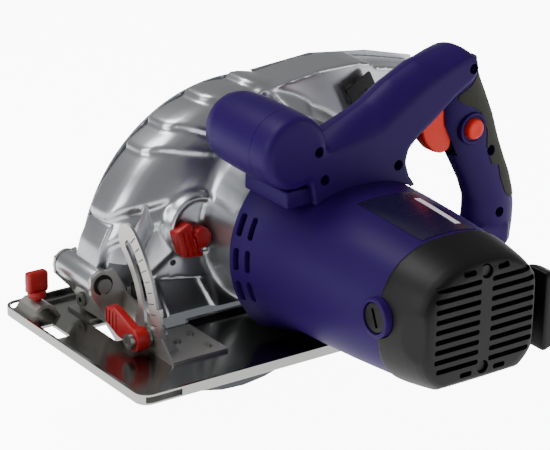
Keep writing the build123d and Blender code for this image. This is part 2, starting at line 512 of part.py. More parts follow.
def handle_left():
    shell = plate_y(OUTLINE, HANDLE_SPLIT, HANDLE_LEFT) - plate_y(LOOP, HANDLE_SPLIT - 1, HANDLE_LEFT + 1)
    shell -= handle_room(HANDLE_SPLIT - 5, HANDLE_LEFT - PLASTIC)
    shell += rod_y(NUB_R, HANDLE_SPLIT, HANDLE_LEFT, NUB_X, NUB_Z)
    shell -= rod_y(NUB_R - 4, HANDLE_SPLIT - 1, HANDLE_LEFT - 4, NUB_X, NUB_Z)
    for hx, hz in HANDLE_HOLES:
        shell += rod_y(5.5, HANDLE_SPLIT, HANDLE_LEFT - 1, hx, hz)
        shell -= rod_y(3.6, HANDLE_SPLIT + 4, HANDLE_LEFT + 1, hx, hz)
    shell += rod_x(9, -134, -123, HANDLE_SPLIT, 52) & box(-150, -110, HANDLE_SPLIT, 90, 0, 90)
    shell += rod_y(11, 74, HANDLE_LEFT - 1, BUTTON_X, BUTTON_Z)            # dished collar of the button
    shell -= rod_y(10, 80.5, HANDLE_LEFT + 1, BUTTON_X, BUTTON_Z)
    shell -= rod_y(7.3, HANDLE_SPLIT, HANDLE_LEFT + 2, BUTTON_X, BUTTON_Z)
    return shell - handle_cuts()


def handle_right():
    shell = plate_y(OUTLINE, HANDLE_RIGHT, HANDLE_SPLIT) - plate_y(LOOP, HANDLE_RIGHT - 1, HANDLE_SPLIT + 1)
    shell -= handle_room(HANDLE_RIGHT + PLASTIC, HANDLE_SPLIT + 5)
    shell += rod_y(NUB_R, NUB_END, HANDLE_SPLIT, NUB_X, NUB_Z)
    shell -= rod_y(NUB_R - 4, NUB_END + 4, HANDLE_SPLIT + 1, NUB_X, NUB_Z)
    for hx, hz in HANDLE_HOLES:
        shell += rod_y(5.5, HANDLE_RIGHT + 1, HANDLE_SPLIT, hx, hz)
    shell += rod_x(9, -134, -123, HANDLE_SPLIT, 52) & box(-150, -110, 40, HANDLE_SPLIT, 0, 90)
    return shell - handle_cuts()


def make_handle():
    parts["handle_left"] = handle_left()
    parts["handle_right"] = handle_right()
    y = HANDLE_SPLIT
    screws = [rod_y(1.8, y - 6, y + 4, hx, hz) + rod_y(3.4, y + 4, y + 7, hx, hz) for hx, hz in HANDLE_HOLES]
    parts["handle_screws"] = Compound(screws)
    trigger = plate_y([(-60, 146), (-56, 136), (-62, 124), (-72, 116), (-81, 116), (-85, 132), (-85, 150),
                       (-70, 156)], HANDLE_SPLIT - 6, HANDLE_SPLIT + 6)
    parts["trigger"] = trigger - rod_y(2.0 + RUNNING, 50, 80, -64, 150)
    parts["trigger_pin"] = rod_y(2.0, HANDLE_RIGHT + 3, HANDLE_LEFT - 3, -64, 150)
    parts["switch_block"] = box(-105, -97.5, 52, 79, 143.5, 167)
    parts["lock_off_button"] = rod_y(7.0, HANDLE_SPLIT + 5, HANDLE_LEFT - 1, BUTTON_X, BUTTON_Z)


def make_locks():
    """Spindle lock on the gear case and clamp of the depth arc."""
    x, z, y = LOCK_X, LOCK_Z, CASE_FACE
    wing = plate_y([(x - 3, z - 14), (x + 14, z - 12), (x + 20, z + 6), (x + 8, z + 12)], y + 2, y + 11)
    parts["lock_lever"] = rod_y(7, y + 0.5, y + 13, x, z) + wing
    parts["lock_pin"] = rod_y(3, y - 4, y + 0.5, x, z)
    angle = radians(180 - DEPTH_START)
    cx, cz = HINGE_X + DEPTH_ARC_R * cos(angle), HINGE_Z + DEPTH_ARC_R * sin(angle)
    parts["depth_bolt"] = rod_y(3, -19, -4, cx, cz)
    arm = plate_y([(cx - 6, cz + 5), (cx + 6, cz + 5), (cx + 9, cz + 42), (cx - 3, cz + 42)], -12, -6)
    lever = rod_y(8, -13, -6, cx, cz) + arm
    parts["depth_lever"] = lever - rod_y(3 + RUNNING, -20, 0, cx, cz)


make_shoe()
make_guide_screw()
make_tilt_frame()
make_bevel_lever()
make_guards()
gear_line = make_spindle()
make_armature(gear_line)
make_motor()
make_handle()
make_locks()

os.makedirs("parts", exist_ok=True)
for name, shape in parts.items():
    export_step(shape, f"parts/{name}.step")
print(len(parts), "nodes")
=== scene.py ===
import math

import bmesh
import bpy
from mathutils import Matrix, Vector


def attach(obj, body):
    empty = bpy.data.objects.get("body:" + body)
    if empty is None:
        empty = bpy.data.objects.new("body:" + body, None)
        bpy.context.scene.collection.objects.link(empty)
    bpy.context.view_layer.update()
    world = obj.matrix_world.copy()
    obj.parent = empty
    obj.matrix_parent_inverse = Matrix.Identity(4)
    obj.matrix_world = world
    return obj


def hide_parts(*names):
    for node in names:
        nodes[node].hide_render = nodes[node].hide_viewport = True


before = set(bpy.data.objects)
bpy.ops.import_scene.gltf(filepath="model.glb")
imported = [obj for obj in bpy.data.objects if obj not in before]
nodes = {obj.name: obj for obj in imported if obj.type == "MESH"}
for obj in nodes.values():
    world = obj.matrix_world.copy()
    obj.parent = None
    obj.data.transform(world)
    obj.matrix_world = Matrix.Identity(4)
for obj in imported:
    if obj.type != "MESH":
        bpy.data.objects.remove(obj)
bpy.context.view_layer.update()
mm = 0.001
print("frame loaded", len(nodes), "nodes")


view = {
    "aim": (-23.48, -41.0, 38.66),
    "towardsCamera": (0.5477, 0.7516, 0.3676),
    "distance": 1641.28,
    "rollDegrees": 1.38,
    "lens": 154.3,
}


def placeCamera():
    back = Vector(view["towardsCamera"]).normalized()
    level = Vector((-back.y, back.x, 0)).normalized()
    up = back.cross(level)
    roll = math.radians(view["rollDegrees"])
    right = level * math.cos(roll) + up * math.sin(roll)
    top = up * math.cos(roll) - level * math.sin(roll)
    data = bpy.data.cameras.new("studioCamera")
    data.lens = view["lens"]
    data.sensor_width = 36
    data.clip_end = 20
    camera = bpy.data.objects.new("studioCamera", data)
    turn = Matrix((right, top, back)).transposed().to_4x4()
    spot = Vector(view["aim"]) * mm + back * view["distance"] * mm
    camera.matrix_world = Matrix.Translation(spot) @ turn
    bpy.context.scene.collection.objects.link(camera)
    bpy.context.scene.camera = camera


lights = [
    # name, place, aim, size, power, colour
    ("overheadSoftbox", (0.5, -0.6, 1.5), (0.0, 0.0, 0.08), (0.9, 0.7), 19, (1.0, 0.99, 0.98)),
    ("noseSoftbox", (1.7, -0.3, 0.75), (0.05, 0.0, 0.08), (0.5, 1.0), 14, (0.97, 0.98, 1.0)),
    ("rearStrip", (-1.2, 1.1, 0.8), (-0.05, 0.1, 0.1), (0.4, 1.0), 7, (1.0, 1.0, 1.0)),
    ("motorSideSoftbox", (-0.35, 1.9, 0.75), (-0.05, 0.1, 0.08), (0.8, 0.6), 4, (1.0, 1.0, 1.0)),
]


def placeLights():
    for name, place, aim, size, power, colour in lights:
        data = bpy.data.lights.new(name, "AREA")
        data.shape = "RECTANGLE"
        data.size, data.size_y = size
        data.energy = power
        data.color = colour
        lamp = bpy.data.objects.new(name, data)
        lamp.location = place
        lamp.rotation_euler = (Vector(place) - Vector(aim)).to_track_quat("Z", "Y").to_euler()
        bpy.context.scene.collection.objects.link(lamp)
    world = bpy.data.worlds.new("paleStudio")
    world.use_nodes = True
    world.node_tree.nodes["Background"].inputs["Color"].default_value = (1.0, 1.0, 1.0, 1.0)
    world.node_tree.nodes["Background"].inputs["Strength"].default_value = 0.31
    bpy.context.scene.world = world


def hexColor(text):
    channels = [int(text[i:i + 2], 16) / 255 for i in (1, 3, 5)]
    linear = [c / 12.92 if c <= 0.04045 else ((c + 0.055) / 1.055) ** 2.4 for c in channels]
    return (*linear, 1.0)


def addNode(tree, kind, settings=(), links=()):
    node = tree.nodes.new(kind)
    for key, value in dict(settings).items():
        if isinstance(key, int) or key in node.inputs:
            node.inputs[key].default_value = value
        else:
            setattr(node, key, value)
    for key, source in dict(links).items():
        tree.links.new(source, node.inputs[key])
    return node


def surface(name, colour, darker, roughness, metallic=0.0, spread=0.06, patchMm=30.0, grainMm=0.6,
            grainHeight=0.0, stretch=(1, 1, 1), coat=0.0, specular=0.5):
    material = bpy.data.materials.new(name)
    material.use_nodes = True
    tree = material.node_tree
    shader = tree.nodes["Principled BSDF"]
    shader.inputs["Metallic"].default_value = metallic
    shader.inputs["IOR"].default_value = 1.5
    shader.inputs["Specular IOR Level"].default_value = specular
    shader.inputs["Coat Weight"].default_value = coat
    shader.inputs["Coat Roughness"].default_value = 0.12
    where = addNode(tree, "ShaderNodeTexCoord")
    stretched = addNode(tree, "ShaderNodeMapping", {"Scale": stretch},
                        {"Vector": where.outputs["Object"]})
    patches = addNode(tree, "ShaderNodeTexNoise", {"Scale": 1000 / patchMm, "Detail": 4.0},
                      {"Vector": where.outputs["Object"]})
    mixed = addNode(tree, "ShaderNodeMix", {"data_type": "RGBA", 6: hexColor(colour), 7: hexColor(darker)},
                    {0: patches.outputs["Fac"]})
    tree.links.new(mixed.outputs[2], shader.inputs["Base Color"])
    grain = addNode(tree, "ShaderNodeTexNoise", {"Scale": 1000 / grainMm, "Detail": 3.0},
                    {"Vector": stretched.outputs["Vector"]})
    rough = addNode(tree, "ShaderNodeMapRange",
                    {"To Min": roughness - spread, "To Max": roughness + spread},
                    {"Value": grain.outputs["Fac"]})
    tree.links.new(rough.outputs["Result"], shader.inputs["Roughness"])
    if grainHeight:
        bump = addNode(tree, "ShaderNodeBump", {"Strength": 1.0, "Distance": grainHeight * mm},
                       {"Height": grain.outputs["Fac"]})
        tree.links.new(bump.outputs["Normal"], shader.inputs["Normal"])
    return material


# ABS, moulded against a spark-eroded tool: an even satin skin with a fine grain
purpleAbs = surface("purpleMouldedAbs", "#240354", "#1f0349", 0.46, grainMm=0.7, grainHeight=0.02,
                    specular=0.13)
# glass-filled nylon, coarser grain than the ABS
blackNylon = surface("blackNylon", "#080808", "#060606", 0.46, grainMm=0.8, grainHeight=0.04, spread=0.05,
                     specular=0.22)
# thermoplastic rubber overmoulded on the grip: matt and slightly green-grey
gripRubber = surface("gripRubber", "#2a2a22", "#24241d", 0.66, grainMm=1.0, grainHeight=0.06, specular=0.22)
orangeAbs = surface("orangeAbs", "#e82400", "#dc1f00", 0.42, grainMm=0.8, grainHeight=0.02, specular=0.3)
redNylon = surface("redNylon", "#a00509", "#920406", 0.38, grainMm=0.9, grainHeight=0.03, specular=0.35)
# aluminium die casting under silver lacquer: bright, soft reflections and a little orange peel
silverLacquer = surface("silverLacqueredCasting", "#b4b6ba", "#abadb1", 0.30, metallic=0.92, patchMm=45,
                        grainMm=1.4, grainHeight=0.003, spread=0.02, coat=0.2)
silverSheet = surface("silverLacqueredSheet", "#b5b4af", "#a9a8a3", 0.32, metallic=0.85, grainMm=1.6,
                      grainHeight=0.004, spread=0.03, coat=0.1)
# rolled steel, bright zinc plated: long fine streaks along the rolling direction
platedSteel = surface("zincPlatedSteel", "#a9aaa6", "#8f908d", 0.30, metallic=1.0, grainMm=0.9,
                      stretch=(0.05, 1, 1), grainHeight=0.008)
shoeSteel = surface("rolledShoeSteel", "#a2a29e", "#8f908c", 0.17, metallic=1.0, grainMm=1.2, patchMm=60,
                    stretch=(0.06, 1, 1), grainHeight=0.002, spread=0.03)
burnishedSteel = surface("burnishedGuardSteel", "#55575a", "#46484b", 0.30, metallic=1.0, grainMm=0.8,
                         stretch=(1, 0.2, 1), grainHeight=0.010)
blackenedSteel = surface("blackenedSteel", "#2c2c2d", "#232324", 0.40, metallic=0.9, grainMm=0.6,
                         grainHeight=0.01)
groundSteel = surface("groundSteel", "#c6c7c8", "#b3b4b6", 0.24, metallic=1.0, grainMm=0.5, grainHeight=0.006)
bladeSteel = surface("groundBladeSteel", "#b4b6b8", "#a2a4a6", 0.26, metallic=1.0, grainMm=0.7,
                     stretch=(0.2, 1, 0.2), grainHeight=0.008)
copperWire = surface("enamelledCopper", "#b4622d", "#8f4a20", 0.35, metallic=1.0, grainMm=0.7, grainHeight=0.05)
drawnBrass = surface("drawnBrass", "#c9a24b", "#b08b3c", 0.30, metallic=1.0, grainMm=0.7, grainHeight=0.01)
ironSheets = surface("stackedIronSheets", "#5a5b5d", "#4a4b4d", 0.45, metallic=1.0, grainMm=1.0,
                     stretch=(0.1, 1, 0.1), grainHeight=0.03)
graphite = surface("pressedGraphite", "#2a2a2b", "#202021", 0.55, metallic=0.3, grainMm=0.5,
                   grainHeight=0.02)
naturalNylon = surface("naturalNylon", "#cfcdc2", "#c3c1b6", 0.45, grainMm=0.8, grainHeight=0.02)
blackRubber = surface("blackRubber", "#1f1f1e", "#191918", 0.70, grainMm=0.9, grainHeight=0.04, specular=0.3)
labelFoil = surface("blankLabelFoil", "#130a30", "#100829", 0.26, grainMm=3.0, grainHeight=0.002)
labelWhite = surface("labelWhite", "#e6e4ee", "#dddbe6", 0.35, grainMm=3.0, grainHeight=0.003)
scaleInk = surface("scaleInk", "#3a3a3c", "#323234", 0.50, grainMm=1.0, grainHeight=0.003)
paleFloor = surface("paleStudioFloor", "#fbfbfb", "#f7f7f7", 0.75, patchMm=400, grainMm=12, specular=0.2)

# the floor glows white for the lens and in reflections, but hardly lights the undersides
floorTree = paleFloor.node_tree
floorShader = floorTree.nodes["Principled BSDF"]
floorShader.inputs["Emission Color"].default_value = (1, 1, 1, 1)
rays = addNode(floorTree, "ShaderNodeLightPath")
mirrored = addNode(floorTree, "ShaderNodeMath", {"operation": "MULTIPLY_ADD", 1: 0.9, 2: 0.5},
                   {0: rays.outputs["Is Glossy Ray"]})
glow = addNode(floorTree, "ShaderNodeMath", {"operation": "MULTIPLY_ADD", 1: 9.0},
               {0: rays.outputs["Is Camera Ray"], 2: mirrored.outputs["Value"]})
floorTree.links.new(glow.outputs["Value"], floorShader.inputs["Emission Strength"])
print("materials made")


def turnAxis(form, axis):
    if axis == "X":
        bmesh.ops.rotate(form, verts=form.verts, matrix=Matrix.Rotation(math.pi / 2, 3, "Y"))
    if axis == "Y":
        bmesh.ops.rotate(form, verts=form.verts, matrix=Matrix.Rotation(-math.pi / 2, 3, "X"))


def block(low, high, soften=0.0, steps=3):
    form = bmesh.new()
    bmesh.ops.create_cube(form, size=1)
    size = Vector(high) - Vector(low)
    bmesh.ops.scale(form, vec=size, verts=form.verts)
    bmesh.ops.translate(form, vec=(Vector(high) + Vector(low)) / 2, verts=form.verts)
    if soften:
        softenEdges(form, form.edges, soften, steps)
    return form


def softenEdges(form, edges, offset, steps=3):
    bmesh.ops.bevel(form, geom=list(edges), offset=offset, segments=steps, profile=0.5, affect="EDGES",
                    material=-1, clamp_overlap=True)
    return form


def rod(radius, start, end, place, axis="Y", sides=48, soften=0.0):
    form = bmesh.new()
    bmesh.ops.create_cone(form, cap_ends=True, segments=sides, radius1=radius, radius2=radius,
                          depth=end - start)
    turnAxis(form, axis)
    middle = (start + end) / 2
    spot = {"X": (middle, *place), "Y": (place[0], middle, place[1]), "Z": (*place, middle)}[axis]
    bmesh.ops.translate(form, vec=spot, verts=form.verts)
    if soften:
        rims = [e for e in form.edges if len(e.link_faces) == 2 and e.calc_face_angle() > 0.8]
        softenEdges(form, rims, soften)
    return form


def plate(points, start, end, axis="Y", corner=0.0, cornerSteps=5, soften=0.0, softenSteps=3):
    form = bmesh.new()
    put = {"X": lambda a, b: (start, a, b), "Y": lambda a, b: (a, start, b),
           "Z": lambda a, b: (a, b, start)}[axis]
    verts = [form.verts.new(put(a, b)) for a, b in points]
    form.faces.new(verts)
    if corner:
        bmesh.ops.bevel(form, geom=form.verts[:], offset=corner, segments=cornerSteps, profile=0.5,
                        affect="VERTICES", material=-1, clamp_overlap=True)
    move = [0, 0, 0]
    move["XYZ".index(axis)] = end - start
    grown = bmesh.ops.extrude_face_region(form, geom=form.faces[:])
    bmesh.ops.translate(form, vec=move, verts=[v for v in grown["geom"] if isinstance(v, bmesh.types.BMVert)])
    bmesh.ops.recalc_face_normals(form, faces=form.faces)
    if soften:
        rims = [e for e in form.edges if len(e.link_faces) == 2 and e.calc_face_angle() > 0.9]
        softenEdges(form, rims, soften, softenSteps)
    return form


def turned(profile, place, steps=96):
    form = bmesh.new()
    verts = [form.verts.new((place[0] + r, y, place[1])) for r, y in profile]
    edges = [form.edges.new(pair) for pair in zip(verts, verts[1:])]
    bmesh.ops.spin(form, geom=verts + edges, cent=(place[0], 0, place[1]), axis=(0, 1, 0), dvec=(0, 0, 0),
                   angle=2 * math.pi, steps=steps, use_merge=True)
    bmesh.ops.remove_doubles(form, verts=form.verts, dist=0.001)
    bmesh.ops.recalc_face_normals(form, faces=form.faces)
    return form


def swept(stations, sides=32):
    form = bmesh.new()
    rings = []
    for x, z, halfX, halfY, y in stations:
        ring = bmesh.ops.create_circle(form, segments=sides, radius=1)["verts"]
        bmesh.ops.scale(form, vec=(halfX, halfY, 1), verts=ring)
        bmesh.ops.translate(form, vec=(x, y, z), verts=ring)
        rings.append(ring)
    for low, high in zip(rings, rings[1:]):
        loops = [e for ring in (low, high) for e in form.edges if all(v in ring for v in e.verts)]
        bmesh.ops.bridge_loops(form, edges=loops)
    for ring in (rings[0], rings[-1]):
        bmesh.ops.contextual_create(form, geom=ring)
    bmesh.ops.recalc_face_normals(form, faces=form.faces)
    return form


def joined(name, *forms):
    whole = bmesh.new()
    for form in forms:
        mesh = bpy.data.meshes.new("part")
        form.to_mesh(mesh)
        whole.from_mesh(mesh)
        bpy.data.meshes.remove(mesh)
        form.free()
    bmesh.ops.scale(whole, vec=(mm, mm, mm), verts=whole.verts)
    mesh = bpy.data.meshes.new(name)
    whole.to_mesh(mesh)
    whole.free()
    piece = bpy.data.objects.new(name, mesh)
    bpy.context.scene.collection.objects.link(piece)
    return piece


def settle(piece):
    graph = bpy.context.evaluated_depsgraph_get()
    graph.update()
    mesh = bpy.data.meshes.new_from_object(piece.evaluated_get(graph))
    piece.modifiers.clear()
    piece.data = mesh
    return piece


def carve(piece, *forms, mode="DIFFERENCE"):
    tools = []
    for form in forms:
        tool = joined("cutter", form)
        change = piece.modifiers.new("cut", "BOOLEAN")
        change.operation = mode
        change.solver = "MANIFOLD"
        change.object = tool
        tools.append(tool)
    settle(piece)
    for tool in tools:
        bpy.data.objects.remove(tool)
    return piece


def melt(piece, voxelMm, rounds):
    remesh = piece.modifiers.new("remesh", "REMESH")
    remesh.mode = "VOXEL"
    remesh.voxel_size = voxelMm * mm
    relax = piece.modifiers.new("relax", "SMOOTH")
    relax.factor = 0.5
    relax.iterations = rounds
    return settle(piece)


def place(piece, material, body, replaced=(), slotName=None, sharp=38.0):
    form = bmesh.new()
    form.from_mesh(piece.data)
    bmesh.ops.remove_doubles(form, verts=form.verts, dist=1e-6)
    bmesh.ops.dissolve_degenerate(form, edges=form.edges, dist=1e-6)
    for face in form.faces:
        face.smooth = True
    for edge in form.edges:
        edge.smooth = len(edge.link_faces) != 2 or edge.calc_face_angle(0) < math.radians(sharp)
    form.to_mesh(piece.data)
    form.free()
    piece.data.materials.clear()
    piece.data.materials.append(material)
    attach(piece, body)
    if replaced:
        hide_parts(*replaced)
    return piece


guard = {
    "axis": (9.0, 34.0),
    "profile": [(0, -54.6), (60, -54.6), (100, -54.6), (112.5, -54.6), (114.5, -53.2), (114.5, -50),
                (114.6, -45), (114.6, -40), (114.4, -35), (113.4, -30), (111, -25.5), (107.8, -21.5),
                (103.5, -17.5), (98.5, -13.8), (93, -10.4), (87, -7.6), (80, -5.4), (73, -4.3), (64, -4),
                (50, -4), (0, -4)],
    "creases": [-14.0, 9.0, 19.5, 44.0, 55.0, 71.0, 88.0, 112.0],
    "relief": 6.0,
    "fade": [(0, 0.0), (50, 0.05), (66, 0.22), (84, 0.34), (98, 0.66), (108, 0.95), (130, 1.0)],
    "skew": [(0, 60), (60, 48), (66, 41), (78, 29), (90, 18), (100, 10.5), (106, 7), (112, 3.5), (114.6, 0),
             (130, 0)],
}


def along(table, value):
    for (a, fa), (b, fb) in zip(table, table[1:]):
        if value <= b:
            return fa + (fb - fa) * max(0, value - a) / (b - a)
    return table[-1][1]


def guardScales(form):
    cx, cz = guard["axis"]
    creases = guard["creases"]
    for vert in form.verts:
        dx, dz = vert.co.x - cx, vert.co.z - cz
        reach = math.hypot(dx, dz)
        if reach < 50:
            continue
        angle = math.degrees(math.atan2(dz, dx))
        lift = 0.0
        for low, high in zip(creases, creases[1:]):
            if low <= angle < high:
                u = (angle - low) / (high - low)
                width = high - low
                lift = (1 - math.exp(-(angle - low) / 0.8)) * (1 - 0.85 * u) * min(1, 0.5 + width / 40)
        lift *= guard["relief"] * along(guard["fade"], reach)
        lean = min(1.0, max(0.0, (vert.co.y + 40) / 34))
        if vert.co.y < -54:
            lift = 0
        turn = math.radians(along(guard["skew"], reach) if vert.co.y > -45 else 0)
        turn *= 1 if creases[0] - 2 < angle < 92 else max(0, 1 - (angle - 92) / 25) if angle > 0 else 0
        out = reach + lift * math.cos(lean * 1.25)
        a = math.radians(angle) + turn
        vert.co.x = cx + out * math.cos(a)
        vert.co.z = cz + out * math.sin(a)
        vert.co.y += lift * math.sin(lean * 1.25)


def chuteForm(points, right, left, soften):
    form = plate(points, right, left, corner=5)
    rims = [e for e in form.edges if len(e.link_faces) == 2 and e.calc_face_angle() > 0.9
            and all(v.co.y > left - 0.1 for v in e.verts) and e.verts[0].co.z > 118]
    return softenEdges(form, rims, soften, 6)


def makeGuard():
    motor = (0.0, 66.0)
    shell = turned(guard["profile"], guard["axis"], steps=360)
    guardScales(shell)
    chuteFront = chuteForm([(10, 120), (12, 146), (-12, 150), (-45, 154), (-72, 154), (-90, 151.5), (-90, 110),
                            (-40, 90)], -54.6, -20.5, 11)
    chuteRear = chuteForm([(-60, 110), (-60, 150), (-84, 149.5), (-112, 144), (-150, 135), (-150, 104),
                           (-96, 97)], -54.6, -21.5, 10)
    neck = turned([(0, -8), (68, -8), (65, -3.2), (62.8, 2), (62, 10), (62, 30), (62.8, 31), (62.8, 35.5),
                   (0, 35.5)], motor, 96)
    bowl = turned([(0, -8), (23, -8), (21.5, -3), (20.3, 0.5), (19, 1.2), (18, 0.6), (17, -1.5), (16, -2.6),
                   (0, -2.8)], (69, 72), 64)
    piece = joined("upper_guard_casting", shell, chuteFront, chuteRear, neck, bowl)
    # rear of the dome stops short of the depth arc, lower front face is stepped back
    piece = melt(piece, 1.5, 0)
    step = plate([(116, 0), (104, 36), (97, 38), (56, 31), (46, 0)], -8.5, 4, corner=3)
    behind = block((-200, -18.8, -10), (-52, 12, 147))
    behindNeck = block((-90, 12, 0), (-70, 40, 200))
    carve(piece, step, behind, behindNeck)
    ribs = [plate([(60 - i * 17, 33), (64 - i * 17, 30), (47 - i * 17, 0), (40 - i * 17, 0)], -9.5, -5.2 + i,
                  corner=1) for i in range(3)]
    ribs.append(plate([(98, 38), (101, 34), (90, 0), (84, 0)], -9.5, -6))
    for rib in ribs:
        carve(piece, rib, mode="UNION")
    piece = melt(piece, 1.4, 3)
    # blade channel, hinge room and the flat bottom are machined
    rightOf = -60
    channel = rod(112.8, rightOf, -33, guard["axis"], sides=128)
    chuteRoom = plate([(-10, 143), (-60, 147), (-86, 146), (-110, 141), (-156, 130.5), (-156, 107.5),
                       (-94, 99.5), (-60, 60)], rightOf, -24.5)
    floor = block((-200, -80, -100), (200, 60, 8))
    hingeRoom = block((103, -80, -10), (160, 60, 27), 0.5)
    frontRoom = block((98, -26, -10), (121, 60, 35), 0.5)
    earRoom = block((103, -26, -12), (160, 60, 48), 0.5)
    earRoomRight = block((103, -80, -12), (160, -56, 48), 0.5)
    quadrantRoom = plate([(118, 26), (114, 36), (96, 72), (99, 88), (122, 88), (122, 26)], -16.5, 10)
    pinHole = rod(2.2, -12, 6, (85, 47), sides=24)
    neckRoom = rod(56, 4, 40, motor, sides=96)
    carve(piece, channel, chuteRoom, floor, hingeRoom, frontRoom, earRoom, earRoomRight, quadrantRoom, pinHole,
          neckRoom)
    barrel = rod(9.5, -65, -23, (130, 36), soften=0.8)
    web = plate([(119, 36), (131, 42), (127, 58), (120, 72), (112, 74), (110, 50)], -54, -28,
                corner=2, soften=1)
    hinge = joined("hinge_boss", barrel, web)
    carve(hinge, rod(5.05, -70, -18, (130, 36)), rod(112.8, rightOf, -33, guard["axis"], sides=128))
    place(hinge, silverLacquer, "saw_body", slotName="silver_casting")
    place(piece, silverLacquer, "saw_body", ("upper_guard",), "silver_casting")
    print("upper guard made", len(piece.data.polygons), "faces")


handle = {
    "left": 85.0, "right": 47.0, "split": 66.0,
    "archTop": [(41, 126), (30, 139), (7, 142), (-14, 147), (-31, 158), (-52, 171), (-74, 180.5), (-86, 184),
                (-92, 182)],
    "archLow": [(-94, 176), (-92, 170), (-88, 167), (-75, 159), (-57, 145), (-45, 137), (-38, 130), (-36, 122),
                (-39, 112), (-45, 104), (-39, 102.5), (-14, 108), (6, 109), (24, 106), (35, 101), (38, 113)],
    "crown": [(-92, 4), (-86, 5), (-74, 7), (-52, 12), (-31, 15.5), (-14, 15.5), (7, 11), (30, 3), (41, 0)],
    "leg": [(-88, 183, 8, 10, 66), (-90, 177, 11.5, 14, 66), (-91, 166, 15, 13.5, 66),
            (-93, 152, 20.5, 12.6, 66), (-97, 136, 24, 12.4, 66), (-104.5, 118, 22.6, 12.2, 66),
            (-112.5, 102, 21.2, 12.2, 66), (-118, 91, 20.6, 12.2, 66), (-122.5, 78, 20, 12.4, 66),
            (-123.5, 68, 20.8, 12.8, 66), (-123, 57, 21, 13.5, 66), (-122, 42, 20, 14, 66)],
    "heel": [(-132, 42), (-133, 56), (-104, 60), (-88, 58), (-70, 64), (-58, 84), (-55, 84), (-55, 42)],
    "loop": [(-56, 98), (-60, 78), (-72, 67), (-88, 62), (-99, 64), (-102, 72), (-100, 84), (-93, 97),
             (-86, 104)],
    "grip": [(-99, 170), (-93, 163), (-84, 157), (-83, 154), (-87, 150), (-95, 147.5), (-103, 142), (-110, 128),
             (-110, 116), (-115, 103), (-122, 101), (-124, 91), (-129, 80), (-135, 75), (-150, 75), (-150, 178),
             (-104, 178)],
    "button": (-96.0, 132.0),
    "holes": [(35, 142), (30, 122.5), (-29, 121), (-89, 176), (-114, 113), (-124, 67)],
}


def archForm():
    right, left, split = handle["right"], handle["left"], handle["split"]
    form = plate(handle["archTop"] + handle["archLow"], right, left)
    sides = [e for e in form.edges if abs(e.verts[0].co.y - e.verts[1].co.y) > 30]
    bmesh.ops.subdivide_edges(form, edges=sides, cuts=16, use_grid_fill=True)
    for vert in form.verts:
        onTop = any(abs(vert.co.x - x) < 0.01 and abs(vert.co.z - z) < 0.01 for x, z in handle["archTop"])
        if onTop:
            across = (vert.co.y - split) / (left - split)
            vert.co.z += along(handle["crown"], vert.co.x) * (1 - across * across)
    return form


def handleBlank():
    nub = turned([(0, 6), (12, 6.4), (18, 8.5), (22, 13), (24, 20), (24.8, 34), (25, 52), (24.6, 72), (24, 80),
                  (22.5, 83.4), (19, 85), (0, 85)], (51, 143), 96)
    heel = plate(handle["heel"], 52, 80, corner=4, soften=5, softenSteps=4)
    piece = joined("handle_blank", archForm(), nub, swept(handle["leg"]), heel)
    melt(piece, 1.2, 0)
    carve(piece, plate(handle["loop"], 30, 100, corner=5))
    return melt(piece, 1.2, 5)


def makeHandle():
    piece = handleBlank()
    # soft grip: the blank grown a little and cut to the rubber's outline
    grip = bpy.data.objects.new("soft_grip", piece.data.copy())
    bpy.context.scene.collection.objects.link(grip)
    form = bmesh.new()
    form.from_mesh(piece.data)
    for vert in form.verts:
        vert.co += vert.normal * 0.45 * mm
    form.to_mesh(grip.data)
    form.free()
    x, z = handle["button"]
    collar = turned([(0, 60), (11.2, 60), (11.2, 79), (10.6, 79.8), (9, 79.8), (8.2, 79), (0, 79)],
                    (x, z), 64)
    carve(piece, collar, mode="UNION")
    triggerRoom = plate([(-50, 112), (-50, 158), (-92, 158), (-96, 134), (-95, 112)], 59.4, 72.6)
    screwHoles = [rod(3.6, 70, 95, hole, sides=32) for hole in handle["holes"]]
    carve(piece, motorForm(0.35), triggerRoom,
          rod(7.3, 60, 95, (x, z)), rod(5, -160, -122, (66, 52), axis="X"), *screwHoles)
    seam = 0.15
    for name, low, high, node in (("handle_shell_left", handle["split"] + seam, 95, "handle_left"),
                                  ("handle_shell_right", -5, handle["split"] - seam, "handle_right")):
        half = bpy.data.objects.new(name, piece.data.copy())
        bpy.context.scene.collection.objects.link(half)
        carve(half, block((-200, low, 0), (120, high, 250)), mode="INTERSECT")
        place(half, purpleAbs, "saw_body", (node,), "purple_abs")
        print(name, len(half.data.polygons), "faces")
    bpy.data.objects.remove(piece)
    carve(grip, plate(handle["grip"], 40, 95), mode="INTERSECT")
    carve(grip, rod(3.8, 70, 95, handle["holes"][4], sides=32))
    place(grip, gripRubber, "saw_body", slotName="rubber")
    print("soft grip", len(grip.data.polygons), "faces")


def makeTrigger():
    lever = plate([(-60, 148), (-57, 138), (-61, 127), (-69, 118), (-77, 115.5), (-83, 118), (-85, 132),
                   (-85, 149), (-70, 155)], 60.2, 71.8, corner=2.5, soften=1.6, softenSteps=4)
    trigger = joined("trigger_lever", lever)
    place(trigger, orangeAbs, "switch_trigger", ("trigger",), "orange_abs")
    x, z = handle["button"]
    knob = turned([(0, 71), (7, 71), (7, 81.2), (6.3, 82.3), (5.2, 82.7), (3, 82.4), (0, 82.2)], (x, z), 64)
    place(joined("lock_off_knob", knob), orangeAbs, "safety_button", ("lock_off_button",), "orange_abs")
    body = block((-104, 57, 144), (-98, 74.5, 166), 0.8)
    place(joined("switch_body", body), blackNylon, "saw_body", ("switch_block",), "black_abs")
    pivot = rod(2, 58, 74, (-64, 150), sides=32)
    place(joined("trigger_pivot", pivot), platedSteel, "saw_body", ("trigger_pin",), "plated_steel")


